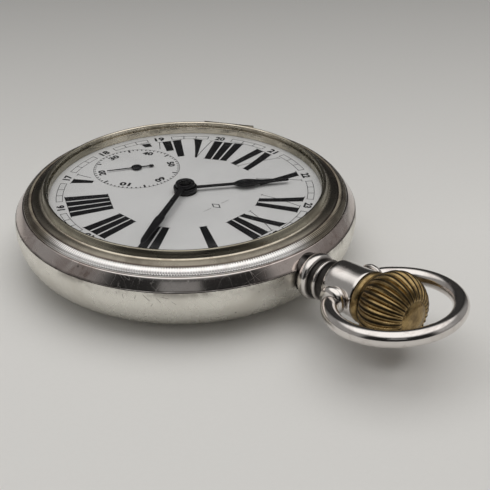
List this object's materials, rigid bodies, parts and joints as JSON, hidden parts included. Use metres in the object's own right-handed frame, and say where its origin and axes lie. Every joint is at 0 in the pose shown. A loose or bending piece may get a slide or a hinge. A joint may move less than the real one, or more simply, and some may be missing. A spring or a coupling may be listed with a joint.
{
  "type": "open face pocket watch",
  "caption": "Open face pocket watch: round hinged metal case with domed crystal, enamel dial with hour, minute and sub-seconds hands, fluted winding crown, swinging bow and lever movement.",
  "frame": {"origin": "centre of the flat of the back cover, where the watch rests on a table", "axes": "+Z out of the dial, +Y towards 12 o'clock and the crown, +X towards 3 o'clock"},
  "size_m": [0.053, 0.0791, 0.0135],
  "materials": {
    "silver": "polished, lightly tarnished silver",
    "silver_satin": "satin silver with fine scratches",
    "old_nickel": "worn nickel, reeded edge",
    "aged_brass": "aged brass, fluted",
    "gilt": "gilded brass",
    "nickel": "nickel plate, brushed",
    "steel": "polished steel",
    "blued_steel": "blued steel",
    "black_hands": "black oxidised steel",
    "enamel": "white fired enamel with black printing",
    "glass": "clear watch crystal",
    "ruby": "polished synthetic ruby"
  },
  "bodies": {
    "case": {"case_middle": "silver", "pendant": "silver", "bezel_hinge_pin": "steel", "back_hinge_pin": "steel", "dust_cover_hinge_pin": "steel", "dial": "enamel", "main_plate": "nickel", "barrel_bridge": "nickel", "train_bridge": "nickel", "balance_cock": "nickel", "pallet_bridge": "nickel", "click_spring": "steel", "third_jewel": "ruby", "fourth_jewel": "ruby", "escape_jewel": "ruby", "balance_jewel": "ruby", "barrel_bridge_screw_1": "blued_steel", "barrel_bridge_screw_2": "blued_steel", "barrel_bridge_screw_3": "blued_steel", "train_bridge_screw_1": "blued_steel", "train_bridge_screw_2": "blued_steel", "cock_screw": "blued_steel", "crown_wheel_screw": "blued_steel", "hairspring": "blued_steel"},
    "front": {"bezel": "old_nickel", "crystal": "glass"},
    "back": {"back_cover": "silver_satin"},
    "inner_back": {"dust_cover": "silver_satin"},
    "bow_ring": {"bow": "silver"},
    "winding_pinion_set": {"winding_pinion": "steel"},
    "crown_and_stem": {"crown": "aged_brass", "winding_stem": "steel"},
    "clutch": {"sliding_pinion": "steel"},
    "crown_wheel_set": {"crown_wheel": "nickel"},
    "arbor_set": {"barrel_arbor": "steel", "ratchet_wheel": "nickel", "ratchet_screw": "blued_steel"},
    "click_lever": {"click": "steel"},
    "setting_lever_set": {"setting_lever": "steel"},
    "yoke_set": {"yoke": "steel"},
    "barrel_set": {"barrel": "gilt", "barrel_cover": "gilt", "mainspring": "blued_steel"},
    "centre_set": {"centre_wheel": "gilt", "cannon_pinion": "steel", "minute_hand": "black_hands"},
    "third_set": {"third_wheel": "gilt"},
    "fourth_set": {"fourth_wheel": "gilt", "seconds_hand": "black_hands"},
    "escape_set": {"escape_wheel": "steel"},
    "minute_wheel_set": {"minute_wheel": "gilt"},
    "hour_set": {"hour_wheel": "gilt", "hour_hand": "black_hands"},
    "setting_wheel_set": {"setting_wheel": "steel"},
    "fork_set": {"pallet_fork": "steel"},
    "balance_set": {"balance_wheel": "gilt", "balance_staff": "steel", "impulse_pin": "ruby"},
    "regulator_set": {"regulator": "steel"}
  },
  "joints": [
    {"name": "bezel_hinge", "type": "hinge", "parent": "case", "child": "front", "pos_m": [-0.02143, -0.01238, 0.01088], "axis": [0.5, -0.866, 0], "range_deg": [0, 100]},
    {"name": "back_hinge", "type": "hinge", "parent": "case", "child": "back", "pos_m": [-0.02317, -0.01337, 0.00815], "axis": [-0.5, 0.866, 0], "range_deg": [0, 105]},
    {"name": "dust_cover_hinge", "type": "hinge", "parent": "case", "child": "inner_back", "pos_m": [-0.02091, -0.01208, 0.00665], "axis": [-0.5, 0.866, 0], "range_deg": [0, 60]},
    {"name": "bow_swing", "type": "hinge", "parent": "case", "child": "bow_ring", "pos_m": [0, 0.0346, 0.00778], "axis": [1, 0, 0], "range_deg": [-135, 125]},
    {"name": "crown_turn", "type": "hinge", "parent": "case", "child": "winding_pinion_set", "pos_m": [0, 0.0179, 0.00778], "axis": [0, 1, 0], "continuous": true},
    {"name": "crown_pull", "type": "slide", "parent": "winding_pinion_set", "child": "crown_and_stem", "axis": [0, 1, 0], "range_m": [0, 0.001]},
    {"name": "clutch_slide", "type": "slide", "parent": "winding_pinion_set", "child": "clutch", "axis": [0, -1, 0], "range_m": [0, 0.001]},
    {"name": "crown_wheel_turn", "type": "hinge", "parent": "case", "child": "crown_wheel_set", "pos_m": [0, 0.01495, 0.0033], "axis": [0, 0, 1], "continuous": true},
    {"name": "arbor_turn", "type": "hinge", "parent": "case", "child": "arbor_set", "pos_m": [0.00702, 0.00568, 0.0033], "axis": [0, 0, 1], "continuous": true},
    {"name": "click_lift", "type": "hinge", "parent": "case", "child": "click_lever", "pos_m": [-0.0006, 0.0093, 0.0033], "axis": [0, 0, 1], "range_deg": [0, 12]},
    {"name": "setting_lever_turn", "type": "hinge", "parent": "case", "child": "setting_lever_set", "pos_m": [0.0046, 0.0162, 0.0093], "axis": [0, 0, -1], "range_deg": [0, 13]},
    {"name": "yoke_turn", "type": "hinge", "parent": "case", "child": "yoke_set", "pos_m": [-0.005, 0.0098, 0.0093], "axis": [0, 0, -1], "range_deg": [0, 10]},
    {"name": "barrel_turn", "type": "hinge", "parent": "case", "child": "barrel_set", "pos_m": [0.00702, 0.00568, 0.0059], "axis": [0, 0, -1], "continuous": true},
    {"name": "centre_turn", "type": "hinge", "parent": "case", "child": "centre_set", "pos_m": [0, 0, 0.0059], "axis": [0, 0, -1], "continuous": true},
    {"name": "third_turn", "type": "hinge", "parent": "case", "child": "third_set", "pos_m": [0.00276, -0.00681, 0.0059], "axis": [0, 0, -1], "continuous": true},
    {"name": "fourth_turn", "type": "hinge", "parent": "case", "child": "fourth_set", "pos_m": [0, -0.0115, 0.0059], "axis": [0, 0, -1], "continuous": true},
    {"name": "escape_turn", "type": "hinge", "parent": "case", "child": "escape_set", "pos_m": [-0.0049, -0.00976, 0.0066], "axis": [0, 0, -1], "continuous": true},
    {"name": "minute_wheel_turn", "type": "hinge", "parent": "case", "child": "minute_wheel_set", "pos_m": [0, 0.0048, 0.0092], "axis": [0, 0, -1], "continuous": true},
    {"name": "hour_turn", "type": "hinge", "parent": "case", "child": "hour_set", "pos_m": [0, 0, 0.0097], "axis": [0, 0, -1], "continuous": true},
    {"name": "setting_wheel_turn", "type": "hinge", "parent": "case", "child": "setting_wheel_set", "pos_m": [0, 0.0103, 0.0092], "axis": [0, 0, -1], "continuous": true},
    {"name": "fork_rock", "type": "hinge", "parent": "case", "child": "fork_set", "pos_m": [-0.00785, -0.00646, 0.0066], "axis": [0, 0, 1], "range_deg": [-5, 5]},
    {"name": "balance_swing", "type": "hinge", "parent": "case", "child": "balance_set", "pos_m": [-0.0113, -0.0026, 0.0056], "axis": [0, 0, 1], "range_deg": [-270, 270]},
    {"name": "regulator_turn", "type": "hinge", "parent": "case", "child": "regulator_set", "pos_m": [-0.0113, -0.0026, 0.0035], "axis": [0, 0, 1], "range_deg": [-20, 20]}
  ],
  "couplings": [
    {"joint": "dust_cover_hinge", "follows": "back_hinge", "ratio": 0.55},
    {"joint": "clutch_slide", "follows": "crown_pull", "ratio": 0.9},
    {"joint": "setting_lever_turn", "follows": "crown_pull", "rad_per_m": 220},
    {"joint": "yoke_turn", "follows": "crown_pull", "rad_per_m": 160},
    {"joint": "crown_wheel_turn", "follows": "crown_turn", "ratio": 0.66667},
    {"joint": "arbor_turn", "follows": "crown_turn", "ratio": -0.41667},
    {"joint": "third_turn", "follows": "fourth_turn", "ratio": -0.13333},
    {"joint": "centre_turn", "follows": "fourth_turn", "ratio": 0.016667},
    {"joint": "barrel_turn", "follows": "fourth_turn", "ratio": -0.0021368},
    {"joint": "escape_turn", "follows": "fourth_turn", "ratio": -10},
    {"joint": "minute_wheel_turn", "follows": "fourth_turn", "ratio": -0.0055556},
    {"joint": "hour_turn", "follows": "fourth_turn", "ratio": 0.0013889},
    {"joint": "setting_wheel_turn", "follows": "fourth_turn", "ratio": 0.010526}
  ]
}
